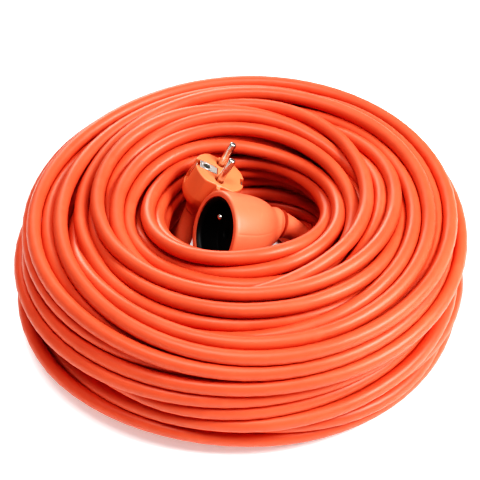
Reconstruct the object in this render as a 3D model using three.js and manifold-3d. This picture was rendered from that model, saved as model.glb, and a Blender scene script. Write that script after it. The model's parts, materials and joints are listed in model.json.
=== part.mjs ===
// A 50 m orange extension cord, wound into a round coil that lies on the floor. Its moulded plug
// (two pins, earth socket and side earth clips) and its trailing socket (two pin holes behind a
// sliding shutter, and an earth pin) lie in the hole of the coil.
// Millimetres, +Z up, origin on the floor at the middle of the coil.
import * as THREE from "three";
import { mergeVertices } from "three/addons/utils/BufferGeometryUtils.js";
import Module from "manifold-3d";

const wasm = await Module();
wasm.setup();

// ---------------------------------------------------------------- driving dimensions
const GAP = 0.3; // clearance between pieces that touch on the real cord

const CABLE = { radius: 4.8, sides: 12, step: 13 };

const COIL = {
  outerRadius: 150,
  innerRadius: 54,
  height: 90,
  outerTop: { width: 38, height: 38 }, // the four rounded corners of the winding's section
  outerBottom: { width: 30, height: 34 },
  innerTop: { width: 24, height: 28 },
  innerBottom: { width: 36, height: 50 },
  segments: 64,
};

// Each end has its own frame: z points out of its face or mouth, y towards its earth contact.
const PLUG_PLACE = {
  origin: [-15.9, 28.2, 85.5],
  z: [0.47, 0.061, 0.88],
  y: [-0.884, 0.066, 0.459],
};
const SOCKET_PLACE = {
  origin: [-20, -20.4, 75.3],
  z: [-0.834, -0.333, 0.439],
  y: [0.118, 0.671, 0.732],
};

// Depths along z are measured from each end's face or mouth: negative is inside the housing.
const PIN = { radius: 2.4, length: 19, spacing: 19, back: -12 };
const EARTH_OFFSET = 10; // from the middle of the face to the earth pin's centre line
const EARTH_PIN = { back: -30, tip: -2 };
const CRIMP = { radius: 2.1, plugLength: 4.5, socketLength: 3.7, sides: 12 };
const CORE_CLEARANCE = 0.4; // between the cores and the end of the sheath
const CORE = { radius: 1.4, lead: 3.5, sides: 8, steps: 8 }; // one insulated core of the cable
// The three wires: where each contact stands, and where its core lies in the cable.
const WIRES = [
  { name: "line", contact: [-PIN.spacing / 2, 0], inCable: [-1.9, -1.3], colour: "brown" },
  { name: "neutral", contact: [PIN.spacing / 2, 0], inCable: [1.9, -1.3], colour: "blue" },
  { name: "earth", contact: [0, EARTH_OFFSET], inCable: [0, 2.2], colour: "earth" },
];

const PLUG = {
  radius: 18.5,
  flat: 16.4, // half the distance between the two flat sides
  straight: 18, // depth of the part that goes into a wall socket
  length: 36,
  neckRadius: 8.2,
  faceThickness: 2.8,
  cavityRadius: 13.6,
  cavityTaper: [-31, -21], // behind this stretch the cavity is only as wide as the cable
  sheathEnd: -27, // the cable's sheath is stripped from here on
  rib: { width: 3, depth: 3 }, // along each flat side
};
const BRIDGE = { front: -3.1, back: -8.1, radius: 12.9, earthSlot: { width: 8, height: 10, middle: 11.2 } };
const CLIP = {
  width: 4.6,
  thickness: 0.6,
  // the strip's inner side, from its root to its tip: [z, height above the plug's axis]
  bow: [[-15.4, 15.5], [-11, 16.7], [-7, 17.5], [-4, 17.4], [-1.4, 16.6]],
};
const CLIP_GROOVE = { floor: 15.2, width: 7.2, end: -17, depth: 8 };
const EARTH_PLATE = { width: 7, from: 2.4, to: 14.8, thickness: 0.9, recess: 0.1, pocketDepth: 5 };
const EARTH_SLEEVE = { radius: 3.2, bore: 2.6, back: -13 };

const SOCKET = {
  wellRadius: 20,
  wellDepth: 16,
  insertRadius: 22.9,
  insertBack: -22,
  floorThickness: 3,
  holeRadius: 3.2,
  length: 49,
  sheathEnd: -42,
  neckRadius: 10,
  outletHeight: 10.6, // the cable leaves the bell this far towards the earth pin
};
const SHUTTER = { width: 27, height: 8.4, front: -19.4, thickness: 1.5 };
const SPRING = { radius: 0.95, wire: 0.25, turns: 6, sides: 5, from: 4.6, to: 13.6, x: 7, depth: -20.65 };
const CARRIER = { front: -22.3, back: -30, radius: 15.5, offset: 2, slot: 7 };
const PIN_CONTACT = { front: -22.7, back: -30, radius: 3.05, bore: 2.3, split: 1.2 };

const SLEEVE = { length: 26, bore: 5.1, endRadius: 6.1, sides: 20, stations: 9 };

// Routes of the two free ends, from behind the plug or socket to the winding.
const STRAIGHT_OUT = 3; // the cable leaves each housing straight for this length
const PLUG_ROUTE = [
  [-36.7, 24.7, 46.4], [-40.1, 21.7, 39.2], [-43, 17.2, 32.6], [-45.2, 11.4, 26.8], [-46.6, 4.6, 22],
  [-47.2, -2.8, 17.9], [-46.9, -10.4, 14.2], [-45.6, -18, 11], [-43, -25.3, 8.5], [-39.2, -32.2, 6.7],
  [-34.3, -38.6, 5.6], [-28.4, -44.2, 5.1], [-21.5, -48.9, 5], [-13.9, -52.6, 5],
];
const SOCKET_ROUTE = [
  [29.1, 5.1, 57.2], [35.6, 5.7, 51.8], [41.4, 4.8, 45.7], [46.1, 2.4, 39.1], [49.5, -1.4, 32.3],
  [51.5, -6.4, 25.9], [51.9, -12.4, 20.2], [50.8, -19, 15.4], [48.3, -25.8, 11.5], [44.5, -32.4, 8.6],
  [39.6, -38.5, 6.6], [33.7, -43.9, 5.5], [26.9, -48.4, 5.1], [19.5, -52, 5],
];

const CUT = 1; // how far a cutting shape runs past the face that it cuts
const CABLE_PASSAGE = 5.3; // radius of the hole that the cable leaves a housing by
const PIN_WIRES = WIRES.slice(0, 2); // the two wires that end in a pin or a pin contact

const PLASTIC = { roughness: 0.45, metalness: 0 };
const METAL = { roughness: 0.25, metalness: 1 };
const COLOURS = {
  cable: ["#ff5a30", PLASTIC],
  housing: ["#ff6a3a", PLASTIC],
  black: ["#0c0a0a", PLASTIC],
  carrier: ["#d8d4ca", PLASTIC],
  nickel: ["#cfcac2", METAL],
  brass: ["#c9a256", METAL],
  steel: ["#b9bcc0", METAL],
  brown: ["#6b3a1e", PLASTIC],
  blue: ["#2a5fc4", PLASTIC],
  earth: ["#7fae2b", PLASTIC],
};

// ---------------------------------------------------------------- solids
function solid(geometry) {
  const bare = geometry.clone();
  bare.deleteAttribute("normal");
  bare.deleteAttribute("uv");
  const merged = mergeVertices(bare, 1e-4);
  return new wasm.Manifold(
    new wasm.Mesh({
      numProp: 3,
      vertProperties: new Float32Array(merged.attributes.position.array),
      triVerts: new Uint32Array(merged.index.array),
    }),
  );
}

function geometryOf(manifold) {
  const mesh = manifold.getMesh();
  const geometry = new THREE.BufferGeometry();
  geometry.setAttribute("position", new THREE.BufferAttribute(new Float32Array(mesh.vertProperties), 3));
  geometry.setIndex(new THREE.BufferAttribute(new Uint32Array(mesh.triVerts), 1));
  geometry.computeVertexNormals();
  return geometry;
}

function cut(base, ...tools) {
  return tools.reduce((left, tool) => left.subtract(tool), base);
}

function join(base, ...others) {
  return others.reduce((sum, other) => sum.add(other), base);
}

function box(width, depth, height, centre) {
  return solid(new THREE.BoxGeometry(width, depth, height).translate(...centre));
}

// A round bar along z from one height to another.
function bar(radius, from, to, x = 0, y = 0, sides = 24) {
  const geometry = new THREE.CylinderGeometry(radius, radius, Math.abs(to - from), sides);
  return solid(geometry.rotateX(Math.PI / 2).translate(x, y, (from + to) / 2));
}

// A solid of revolution about z. The profile runs [radius, z] from its lower end to its upper end.
function turned(profile, segments = 32) {
  const points = profile.map(([radius, z]) => new THREE.Vector2(radius, z));
  return new THREE.LatheGeometry(points, segments).rotateX(Math.PI / 2);
}

function turnedSolid(profile, segments) {
  return solid(turned(profile, segments));
}

// Two round bars where the pins are.
function pinBars(radius, from, to) {
  return PIN_WIRES.map(({ contact }) => bar(radius, from, to, ...contact));
}

// A closed skin over rings of points, from the first ring to the last, with flat ends.
function loft(rings) {
  const sides = rings[0].length;
  const points = rings.flat();
  const middle = (ring) =>
    [0, 1, 2].map((axis) => ring.reduce((sum, point) => sum + point[axis], 0) / ring.length);
  const first = points.length;
  points.push(middle(rings[0]), middle(rings.at(-1)));
  const faces = [];
  const last = (rings.length - 1) * sides;
  for (let j = 0; j < sides; j++) {
    const next = (j + 1) % sides;
    for (let i = 0; i < rings.length - 1; i++) {
      const a = i * sides + j;
      const b = i * sides + next;
      faces.push([a, b, b + sides], [a, b + sides, a + sides]);
    }
    faces.push([first, next, j], [first + 1, last + j, last + next]);
  }
  const geometry = new THREE.BufferGeometry();
  geometry.setAttribute("position", new THREE.Float32BufferAttribute(points.flat(), 3));
  geometry.setIndex(faces.flat());
  return geometry;
}

// A ring of points round z. radiusAt gives the radius for each angle.
function ringOf(z, radiusAt, centreY = 0, sides = 48) {
  return Array.from({ length: sides }, (_, j) => {
    const angle = (2 * Math.PI * j) / sides;
    const radius = radiusAt(angle);
    return [radius * Math.cos(angle), centreY + radius * Math.sin(angle), z];
  });
}

// Points of a quarter ellipse round (r, z), from one angle to another in degrees.
function corner(r, z, size, from, to, steps = 6) {
  return Array.from({ length: steps + 1 }, (_, i) => {
    const angle = THREE.MathUtils.degToRad(from + ((to - from) * i) / steps);
    return [r + size.width * Math.cos(angle), z + size.height * Math.sin(angle)];
  });
}

// ---------------------------------------------------------------- the object's group
const cord = new THREE.Group();
cord.name = "extension_cord";

function endGroup(place) {
  const group = new THREE.Group();
  const z = new THREE.Vector3(...place.z).normalize();
  const x = new THREE.Vector3(...place.y).cross(z).normalize();
  const y = new THREE.Vector3().crossVectors(z, x);
  group.matrixAutoUpdate = false;
  group.matrix.makeBasis(x, y, z).setPosition(...place.origin);
  cord.add(group);
  return group;
}

function add(group, name, shape, colour) {
  const geometry = shape.isBufferGeometry ? shape : geometryOf(shape);
  const [hex, finish] = COLOURS[colour];
  const mesh = new THREE.Mesh(geometry, new THREE.MeshStandardMaterial({ color: hex, ...finish }));
  mesh.name = name;
  group.add(mesh);
}

const plug = endGroup(PLUG_PLACE);
const socket = endGroup(SOCKET_PLACE);

function sweep(curve, radius, sides, steps) {
  const section = new THREE.Shape();
  for (let j = 0; j < sides; j++) {
    const angle = (2 * Math.PI * j) / sides;
    const point = [radius * Math.cos(angle), radius * Math.sin(angle)];
    if (j === 0) section.moveTo(...point);
    else section.lineTo(...point);
  }
  section.closePath();
  return new THREE.ExtrudeGeometry(section, { steps, extrudePath: curve, bevelEnabled: false });
}

// The crimp behind one contact, and the core that runs from it to the end of the cable's sheath.
function wire(group, end, { name, contact, inCable, colour }, contactBack, crimpLength, sheath) {
  const crimpFront = contactBack - GAP;
  const crimpBack = crimpFront - crimpLength;
  const crimp = bar(CRIMP.radius, crimpBack, crimpFront, ...contact, CRIMP.sides);
  add(group, `${end}_crimp_${name}`, crimp, "brass");
  const from = new THREE.Vector3(...contact, crimpBack - GAP);
  const to = new THREE.Vector3(inCable[0], sheath.y + inCable[1], sheath.z + CORE_CLEARANCE);
  const lead = new THREE.Vector3(0, 0, CORE.lead);
  const curve = new THREE.CubicBezierCurve3(from, from.clone().sub(lead), to.clone().add(lead), to);
  add(group, `${end}_core_${name}`, sweep(curve, CORE.radius, CORE.sides, CORE.steps), colour);
}

// ---------------------------------------------------------------- plug
// The moulded body's outline: a circle with two flat sides.
function plugOutline(angle) {
  const cosine = Math.abs(Math.cos(angle));
  return Math.min(PLUG.radius, PLUG.flat / Math.max(cosine, 1e-6));
}

function plugBody() {
  const tapers = [
    [-PLUG.length, 0, PLUG.neckRadius],
    [-33, 0, 8.8],
    [-30, 0.15, 10.6],
    [-27.5, 0.45, 13.6],
    [-25, 0.75, 15.8],
    [-22, 0.95, 17.4],
    [-PLUG.straight, 1, PLUG.radius],
    [-0.8, 1, PLUG.radius],
    [0, 0.97, PLUG.radius - 0.8],
  ];
  const rings = tapers.map(([z, squareness, radius]) =>
    ringOf(z, (angle) => {
      const scaled = (plugOutline(angle) * radius) / PLUG.radius;
      return THREE.MathUtils.lerp(radius, scaled, squareness);
    }),
  );
  const { width, depth } = PLUG.rib;
  const ribs = [-1, 1].map((side) =>
    box(depth, width, PLUG.straight - 1, [side * (PLUG.radius - depth / 2), 0, -(PLUG.straight + 1) / 2]),
  );
  const [taperBack, taperFront] = PLUG.cavityTaper;
  const cavity = turnedSolid([
    [0, -PLUG.length - CUT],
    [CABLE_PASSAGE, -PLUG.length - CUT],
    [CABLE_PASSAGE, taperBack],
    [PLUG.cavityRadius, taperFront],
    [PLUG.cavityRadius, -PLUG.faceThickness],
    [0, -PLUG.faceThickness],
  ]);
  const platePocket = box(
    EARTH_PLATE.width + 1,
    EARTH_PLATE.to - EARTH_PLATE.from + 1,
    EARTH_PLATE.pocketDepth + CUT,
    [0, (EARTH_PLATE.to + EARTH_PLATE.from) / 2, (CUT - EARTH_PLATE.pocketDepth) / 2],
  );
  const grooves = [-1, 1].map((side) =>
    box(CLIP_GROOVE.width, CLIP_GROOVE.depth, CUT - CLIP_GROOVE.end, [
      0,
      side * (CLIP_GROOVE.floor + CLIP_GROOVE.depth / 2),
      (CUT + CLIP_GROOVE.end) / 2,
    ]),
  );
  const pinHoles = pinBars(PIN.radius + GAP, -PLUG.faceThickness - CUT, CUT);
  return cut(join(solid(loft(rings)), ...ribs), cavity, ...pinHoles, platePocket, ...grooves);
}

function plugBridge() {
  const { front, back, radius, earthSlot } = BRIDGE;
  const height = front - back + 2 * CUT;
  const slot = box(earthSlot.width, earthSlot.height, height, [0, earthSlot.middle, (front + back) / 2]);
  const pinHoles = pinBars(PIN.radius + GAP, back - CUT, front + CUT);
  return cut(bar(radius, back, front, 0, 0, 32), ...pinHoles, slot);
}

// A contact pin with a rounded tip, from its back inside the housing to its tip.
function pin(back, tip, radius) {
  return turned(
    [
      [0, back],
      [radius, back],
      [radius, tip - 1.6],
      [radius * 0.86, tip - 0.6],
      [radius * 0.5, tip - 0.08],
      [0, tip],
    ],
    20,
  );
}

// The plate in the plug's face, with the sleeve behind it that takes an earth pin.
function earthContact() {
  const { width, from, to, thickness, recess } = EARTH_PLATE;
  const plate = box(width, to - from, thickness, [0, (to + from) / 2, -thickness / 2 - recess]);
  const sleeve = bar(EARTH_SLEEVE.radius, EARTH_SLEEVE.back, -thickness / 2, 0, EARTH_OFFSET);
  return cut(join(plate, sleeve), bar(EARTH_SLEEVE.bore, EARTH_SLEEVE.back - CUT, CUT, 0, EARTH_OFFSET));
}

// A bowed spring strip in a side groove. side is +1 next to the earth hole and -1 opposite.
function earthClip(side) {
  const inner = CLIP.bow.map(([z, y]) => new THREE.Vector2(z, y));
  const outer = CLIP.bow.map(([z, y]) => new THREE.Vector2(z, y + CLIP.thickness));
  const outline = new THREE.Shape([...inner, ...outer.reverse()]);
  const geometry = new THREE.ExtrudeGeometry(outline, { depth: CLIP.width, bevelEnabled: false });
  geometry.translate(0, 0, -CLIP.width / 2);
  // The outline is drawn in (z, y): turn it so that its first axis is z and its depth is x.
  geometry.rotateY(-Math.PI / 2);
  if (side < 0) geometry.rotateZ(Math.PI);
  return geometry;
}

add(plug, "plug_body", plugBody(), "housing");
add(plug, "plug_bridge", plugBridge(), "carrier");
add(plug, "plug_earth_contact", earthContact(), "nickel");
for (const { name, contact } of PIN_WIRES) {
  add(plug, `plug_pin_${name}`, pin(PIN.back, PIN.length, PIN.radius).translate(...contact, 0), "nickel");
}
for (const entry of WIRES) {
  const contactBack = entry.name === "earth" ? EARTH_SLEEVE.back : PIN.back;
  wire(plug, "plug", entry, contactBack, CRIMP.plugLength, { y: 0, z: PLUG.sheathEnd });
}
add(plug, "plug_earth_clip_upper", earthClip(1), "nickel");
add(plug, "plug_earth_clip_lower", earthClip(-1), "nickel");

// ---------------------------------------------------------------- trailing socket
// The bell's outside: [z, middle's offset towards the earth pin, radius].
const BELL = [
  [-SOCKET.length, SOCKET.outletHeight, 10.2],
  [-47.6, SOCKET.outletHeight, 10.6],
  [-46.4, 9.6, 11.6],
  [-45.4, 8.4, 12.9],
  [-41, 7.2, 14.2],
  [-38.5, 6.4, 16.2],
  [-35, 5.2, 19.2],
  [-30, 3.5, 22.4],
  [-24, 2, 24.9],
  [-17.5, 0.8, 26.4],
  [-9, 0.2, 27.3],
  [-3, 0, 27.5],
  [-1, 0, 27.2],
  [0, 0, 26.2],
];
const BELL_CAVITY = [
  [-SOCKET.length - CUT, SOCKET.outletHeight, CABLE_PASSAGE],
  [-44, SOCKET.outletHeight, CABLE_PASSAGE],
  [-40, 7.6, 10.6],
  [-35, 5.2, 16],
  [-30, 3.5, 19.4],
  [-24.5, 0.6, 21.6],
  [-23, 0, 23.2],
  [1, 0, 23.2],
];

function bellSkin(stations) {
  return solid(loft(stations.map(([z, offset, radius]) => ringOf(z, () => radius, offset))));
}

function socketInsert() {
  const floorBack = -SOCKET.wellDepth - SOCKET.floorThickness;
  const cup = turnedSolid(
    [
      [0, floorBack],
      [SOCKET.wellRadius + 0.4, floorBack],
      [SOCKET.wellRadius + 0.4, SOCKET.insertBack],
      [SOCKET.insertRadius, SOCKET.insertBack],
      [SOCKET.insertRadius, -1.2],
      [SOCKET.insertRadius - 0.5, -0.7],
      [SOCKET.wellRadius + 1.2, -1.6],
      [SOCKET.wellRadius, -3.6],
      [SOCKET.wellRadius, -SOCKET.wellDepth],
      [0, -SOCKET.wellDepth],
    ],
    40,
  );
  const through = [floorBack - CUT, CUT - SOCKET.wellDepth];
  const earthHole = bar(PIN.radius + GAP, ...through, 0, EARTH_OFFSET);
  return cut(cup, ...pinBars(SOCKET.holeRadius, ...through), earthHole);
}

// One of the two extension springs that pull the shutter shut, its axis along y.
class SpringWire extends THREE.Curve {
  getPoint(t, target = new THREE.Vector3()) {
    const angle = 2 * Math.PI * SPRING.turns * t;
    return target.set(
      SPRING.radius * Math.cos(angle),
      THREE.MathUtils.lerp(SPRING.from, SPRING.to, t),
      SPRING.depth + SPRING.radius * Math.sin(angle),
    );
  }
}

function shutterSpring(x) {
  return sweep(new SpringWire(), SPRING.wire, SPRING.sides, SPRING.turns * 8).translate(x, 0, 0);
}

function contactCarrier() {
  const { front, back, radius, offset, slot } = CARRIER;
  const height = front - back + 2 * CUT;
  const slots = PIN_WIRES.map(({ contact }) => box(slot, slot, height, [...contact, (front + back) / 2]));
  const earthHole = bar(PIN.radius + GAP, back - CUT, front + CUT, 0, EARTH_OFFSET);
  return cut(bar(radius, back, front, 0, offset, 32), ...slots, earthHole);
}

// A split tube that grips a pin.
function pinContact(x, y) {
  const { front, back, radius, bore, split } = PIN_CONTACT;
  const height = front - back + 2 * CUT;
  const slit = box(split, radius, height, [x, y + bore + CUT / 2, (front + back) / 2]);
  return cut(bar(radius, back, front, x, y), bar(bore, back - CUT, front + CUT, x, y), slit);
}

add(socket, "socket_body", cut(bellSkin(BELL), bellSkin(BELL_CAVITY)), "housing");
add(socket, "socket_insert", socketInsert(), "black");
const { width: shutterWidth, height: shutterHeight, thickness: shutterThickness } = SHUTTER;
const shutterPlace = [0, 0, SHUTTER.front - shutterThickness / 2];
const shutter = box(shutterWidth, shutterHeight, shutterThickness, shutterPlace);
add(socket, "socket_shutter", shutter, "black");
add(socket, "socket_contact_carrier", contactCarrier(), "carrier");
for (const { name, contact } of PIN_WIRES) {
  add(socket, `socket_contact_${name}`, pinContact(...contact), "brass");
  const springX = Math.sign(contact[0]) * SPRING.x;
  add(socket, `socket_shutter_spring_${name}`, shutterSpring(springX), "steel");
}
const earthPin = pin(EARTH_PIN.back, EARTH_PIN.tip, PIN.radius).translate(0, EARTH_OFFSET, 0);
add(socket, "socket_earth_pin", earthPin, "nickel");
for (const entry of WIRES) {
  const contactBack = entry.name === "earth" ? EARTH_PIN.back : PIN_CONTACT.back;
  const sheath = { y: SOCKET.outletHeight, z: SOCKET.sheathEnd };
  wire(socket, "socket", entry, contactBack, CRIMP.socketLength, sheath);
}

// ---------------------------------------------------------------- cable
// The route of a free end: from inside its housing straight out of it, then through the given points.
function routeOf(end) {
  const { group, height, sheathEnd, housingEnd } = end;
  const inside = [sheathEnd, housingEnd, housingEnd - STRAIGHT_OUT].map((z) =>
    new THREE.Vector3(0, height, z).applyMatrix4(group.matrix),
  );
  return new THREE.CatmullRomCurve3([...inside, ...end.points.map((point) => new THREE.Vector3(...point))]);
}

// The rest of a route from a share of its length to its end.
class Stretch extends THREE.Curve {
  constructor(route, start) {
    super();
    this.route = route;
    this.start = start;
  }

  getPoint(t, target) {
    return this.route.getPointAt(THREE.MathUtils.lerp(this.start, 1, t), target);
  }
}

// A turned piece bent along a route. Its profile gives [radius, distance along the route].
function bentTube(route, profile, bore) {
  const length = route.getLength();
  const frames = profile.map(([, distance]) => {
    const u = distance / length;
    const point = route.getPointAt(u);
    const tangent = route.getTangentAt(u);
    const side = new THREE.Vector3(0, 0, 1).cross(tangent).normalize();
    return { point, tangent, side, up: new THREE.Vector3().crossVectors(tangent, side) };
  });
  const ring = ({ point, side, up }, radius) =>
    Array.from({ length: SLEEVE.sides }, (_, j) => {
      const angle = (2 * Math.PI * j) / SLEEVE.sides;
      return point
        .clone()
        .addScaledVector(side, radius * Math.cos(angle))
        .addScaledVector(up, radius * Math.sin(angle))
        .toArray();
    });
  const outer = solid(loft(frames.map((frame, i) => ring(frame, profile[i][0]))));
  if (!bore) return outer;
  const moved = (frame, by) => ({ ...frame, point: frame.point.clone().addScaledVector(frame.tangent, by) });
  const through = [moved(frames[0], -CUT), ...frames, moved(frames.at(-1), CUT)];
  return cut(outer, solid(loft(through.map((frame) => ring(frame, bore)))));
}

// One free end of the cable: the tapered sleeve behind its housing, the piece of sheath held in the
// sleeve, and the rest of the way to the winding.
function freeEnd(end) {
  const route = routeOf(end);
  const length = route.getLength();
  const sleeveStart = end.sheathEnd - end.housingEnd + GAP;
  const sleeve = Array.from({ length: SLEEVE.stations + 1 }, (_, i) => {
    const t = i / SLEEVE.stations;
    const radius = THREE.MathUtils.lerp(end.neckRadius, SLEEVE.endRadius, Math.sqrt(t));
    return [radius, sleeveStart + SLEEVE.length * t];
  });
  const sheath = [0, sleeveStart / 2, ...sleeve.map(([, distance]) => distance)];
  const sheathProfile = sheath.map((distance) => [CABLE.radius, distance]);
  add(cord, `${end.name}_bend_sleeve`, bentTube(route, sleeve, SLEEVE.bore), "housing");
  add(cord, `${end.name}_sheath_end`, bentTube(route, sheathProfile), "cable");
  const start = (sleeveStart + SLEEVE.length + GAP) / length;
  const steps = Math.round((length * (1 - start)) / CABLE.step);
  const tail = sweep(new Stretch(route, start), CABLE.radius, CABLE.sides, steps);
  add(cord, `${end.name}_tail`, tail, "cable");
}

freeEnd({
  name: "plug",
  group: plug,
  height: 0,
  sheathEnd: PLUG.sheathEnd,
  housingEnd: -PLUG.length,
  neckRadius: PLUG.neckRadius,
  points: PLUG_ROUTE,
});
freeEnd({
  name: "socket",
  group: socket,
  height: SOCKET.outletHeight,
  sheathEnd: SOCKET.sheathEnd,
  housingEnd: -SOCKET.length,
  neckRadius: SOCKET.neckRadius,
  points: SOCKET_ROUTE,
});

function coilRing() {
  const { outerRadius, innerRadius, height, outerTop, outerBottom, innerTop, innerBottom } = COIL;
  const profile = [
    ...corner(outerRadius - outerBottom.width, outerBottom.height, outerBottom, -90, 0),
    ...corner(outerRadius - outerTop.width, height - outerTop.height, outerTop, 0, 90),
    ...corner(innerRadius + innerTop.width, height - innerTop.height, innerTop, 90, 180),
    ...corner(innerRadius + innerBottom.width, innerBottom.height, innerBottom, 180, 270),
  ];
  profile.push(profile[0]);
  return turned(profile, COIL.segments);
}
add(cord, "cable_coil", coilRing(), "cable");

export default cord;
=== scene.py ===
"""A 50 m orange extension cord, coiled on the floor, with its plug and socket in the hole.

Metres, +Z up, in the frame of the CAD model. The cable is one tube: its turns are settled by a
small relaxation, in which they push one another a cable's diameter apart inside the coil's outline.
"""

import json
import math

import bpy
import numpy as np
from mathutils import Matrix, Vector

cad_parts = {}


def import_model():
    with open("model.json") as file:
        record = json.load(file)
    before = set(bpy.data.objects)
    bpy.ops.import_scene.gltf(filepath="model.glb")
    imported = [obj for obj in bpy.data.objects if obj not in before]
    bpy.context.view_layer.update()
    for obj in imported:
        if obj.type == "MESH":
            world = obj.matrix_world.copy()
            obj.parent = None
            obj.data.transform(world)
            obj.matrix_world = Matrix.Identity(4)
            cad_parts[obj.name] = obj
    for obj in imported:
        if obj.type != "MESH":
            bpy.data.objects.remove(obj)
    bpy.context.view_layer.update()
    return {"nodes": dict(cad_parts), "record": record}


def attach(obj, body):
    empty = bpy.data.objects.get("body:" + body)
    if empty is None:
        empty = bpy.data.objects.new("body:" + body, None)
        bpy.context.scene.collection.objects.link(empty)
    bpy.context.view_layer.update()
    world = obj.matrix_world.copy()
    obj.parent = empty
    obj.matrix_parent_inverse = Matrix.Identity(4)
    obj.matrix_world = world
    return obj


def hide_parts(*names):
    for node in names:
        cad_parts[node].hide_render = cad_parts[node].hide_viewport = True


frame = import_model()

# ---------------------------------------------------------------- driving dimensions
MM = 0.001
CABLE_DIAMETER = 0.0096
CABLE_SIDES = 16

# Each end's own frame: z points out of its face or mouth, y towards its earth contact.
PLUG_PLACE = {
    "origin": (-0.0159, 0.0282, 0.0855),
    "z": (0.47, 0.061, 0.88),
    "y": (-0.884, 0.066, 0.459),
}
SOCKET_PLACE = {
    "origin": (-0.02, -0.0204, 0.0753),
    "z": (-0.834, -0.333, 0.439),
    "y": (0.118, 0.671, 0.732),
}
SOCKET_OUTLET = 0.0106  # the cable leaves the socket this far towards the earth pin

# The free ends, from behind the plug and the socket to the winding, as in the CAD model.
PLUG_ROUTE = [
    (-0.0367, 0.0247, 0.0464), (-0.0401, 0.0217, 0.0392), (-0.0430, 0.0172, 0.0326),
    (-0.0452, 0.0114, 0.0268), (-0.0466, 0.0046, 0.0220), (-0.0472, -0.0028, 0.0179),
    (-0.0469, -0.0104, 0.0142), (-0.0456, -0.0180, 0.0110), (-0.0430, -0.0253, 0.0085),
    (-0.0392, -0.0322, 0.0067), (-0.0343, -0.0386, 0.0056), (-0.0284, -0.0442, 0.0051),
    (-0.0215, -0.0489, 0.0050), (-0.0139, -0.0526, 0.0050),
]
SOCKET_ROUTE = [
    (0.0291, 0.0051, 0.0572), (0.0356, 0.0057, 0.0518), (0.0414, 0.0048, 0.0457),
    (0.0461, 0.0024, 0.0391), (0.0495, -0.0014, 0.0323), (0.0515, -0.0064, 0.0259),
    (0.0519, -0.0124, 0.0202), (0.0508, -0.0190, 0.0154), (0.0483, -0.0258, 0.0115),
    (0.0445, -0.0324, 0.0086), (0.0396, -0.0385, 0.0066), (0.0337, -0.0439, 0.0055),
    (0.0269, -0.0484, 0.0051), (0.0195, -0.0520, 0.0050),
]
# The plug's lead then lies round the foot of the hole, further out where the socket's comes down.
FOOT_RADIUS = 0.0535
FOOT_HEIGHT = 0.0049
PASSING_ROOM = 0.0105
PASSING_ANGLE = -38
PASSING_REACH = 62

# The tapered sleeves, measured along the cable from the start of each route.
SLEEVE_START = 0.0093
SLEEVE_LENGTH = 0.026
SLEEVE_END_RADIUS = 0.0061
SLEEVE_BORE = 0.0051
PLUG_NECK = 0.0082
SOCKET_NECK = 0.0100

# The winding.
TURNS = 80
STATIONS = 72  # round one turn
FIRST_ANGLE = math.radians(-195)  # from here on the plug's end is kept in the table of turns
LAST_ANGLE = math.radians(-5)  # and up to here the socket's end
HELD_FIRST = 50  # points of the plug's end that stay where its route has them
HELD_LAST = 12

# ---------------------------------------------------------------- camera
CAMERA_TARGET = Vector((-0.00264, 0.0, 0.04926))
CAMERA_DISTANCE = 1.0
CAMERA_ELEVATION = math.radians(42.5)
CAMERA_LENS = 111.0


def make_camera():
    data = bpy.data.cameras.new("camera")
    data.lens = CAMERA_LENS
    data.sensor_width = 36.0
    data.clip_start = 0.05
    camera = bpy.data.objects.new("camera", data)
    back = Vector((0, -math.cos(CAMERA_ELEVATION), math.sin(CAMERA_ELEVATION)))
    camera.location = CAMERA_TARGET + CAMERA_DISTANCE * back
    camera.rotation_euler = (math.pi / 2 - CAMERA_ELEVATION, 0, 0)
    bpy.context.collection.objects.link(camera)
    bpy.context.scene.camera = camera


# ---------------------------------------------------------------- frames and curves
def place_matrix(place):
    """The matrix from an end's own frame to the object's."""
    z = Vector(place["z"]).normalized()
    x = Vector(place["y"]).cross(z).normalized()
    y = z.cross(x)
    matrix = Matrix((x, y, z)).transposed().to_4x4()
    matrix.translation = Vector(place["origin"])
    return matrix


PLUG = place_matrix(PLUG_PLACE)
SOCKET = place_matrix(SOCKET_PLACE)


def smooth_curve(points, spacing):
    """Points a spacing apart along a Catmull-Rom curve through the given points."""
    knots = np.array([tuple(point) for point in points])
    knots = np.vstack([2 * knots[0] - knots[1], knots, 2 * knots[-1] - knots[-2]])
    t = np.linspace(0, 1, 24, endpoint=False)[:, None]
    pieces = []
    for a, b, c, d in zip(knots[:-3], knots[1:-2], knots[2:-1], knots[3:]):
        straight = 2 * b + (c - a) * t
        bent = (2 * a - 5 * b + 4 * c - d) * t**2 + (3 * b - a - 3 * c + d) * t**3
        pieces.append(0.5 * (straight + bent))
    dense = np.vstack([*pieces, knots[-2:-1]])
    return resampled(dense, spacing)


def resampled(points, spacing):
    steps = np.linalg.norm(np.diff(points, axis=0), axis=1)
    along = np.concatenate([[0], np.cumsum(steps)])
    count = max(2, round(along[-1] / spacing) + 1)
    wanted = np.linspace(0, along[-1], count)
    return np.stack([np.interp(wanted, along, points[:, axis]) for axis in range(3)], 1)


def blurred(values, width, mode="edge", **kind):
    """Values smoothed with a bell-shaped window."""
    window = np.array([math.comb(2 * width, k) / 4.0**width for k in range(2 * width + 1)])
    return np.convolve(np.pad(values, width, mode=mode, **kind), window, mode="valid")


def free_end(inside, route, spacing):
    """The middle of a free end, with its bends evened out. Its two ends stay where they are."""
    fine = smooth_curve(inside + [Vector(point) for point in route], 0.0005)
    evened = [blurred(fine[:, axis], 200, "reflect", reflect_type="odd") for axis in range(3)]
    return resampled(np.stack(evened, 1), spacing)


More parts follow.
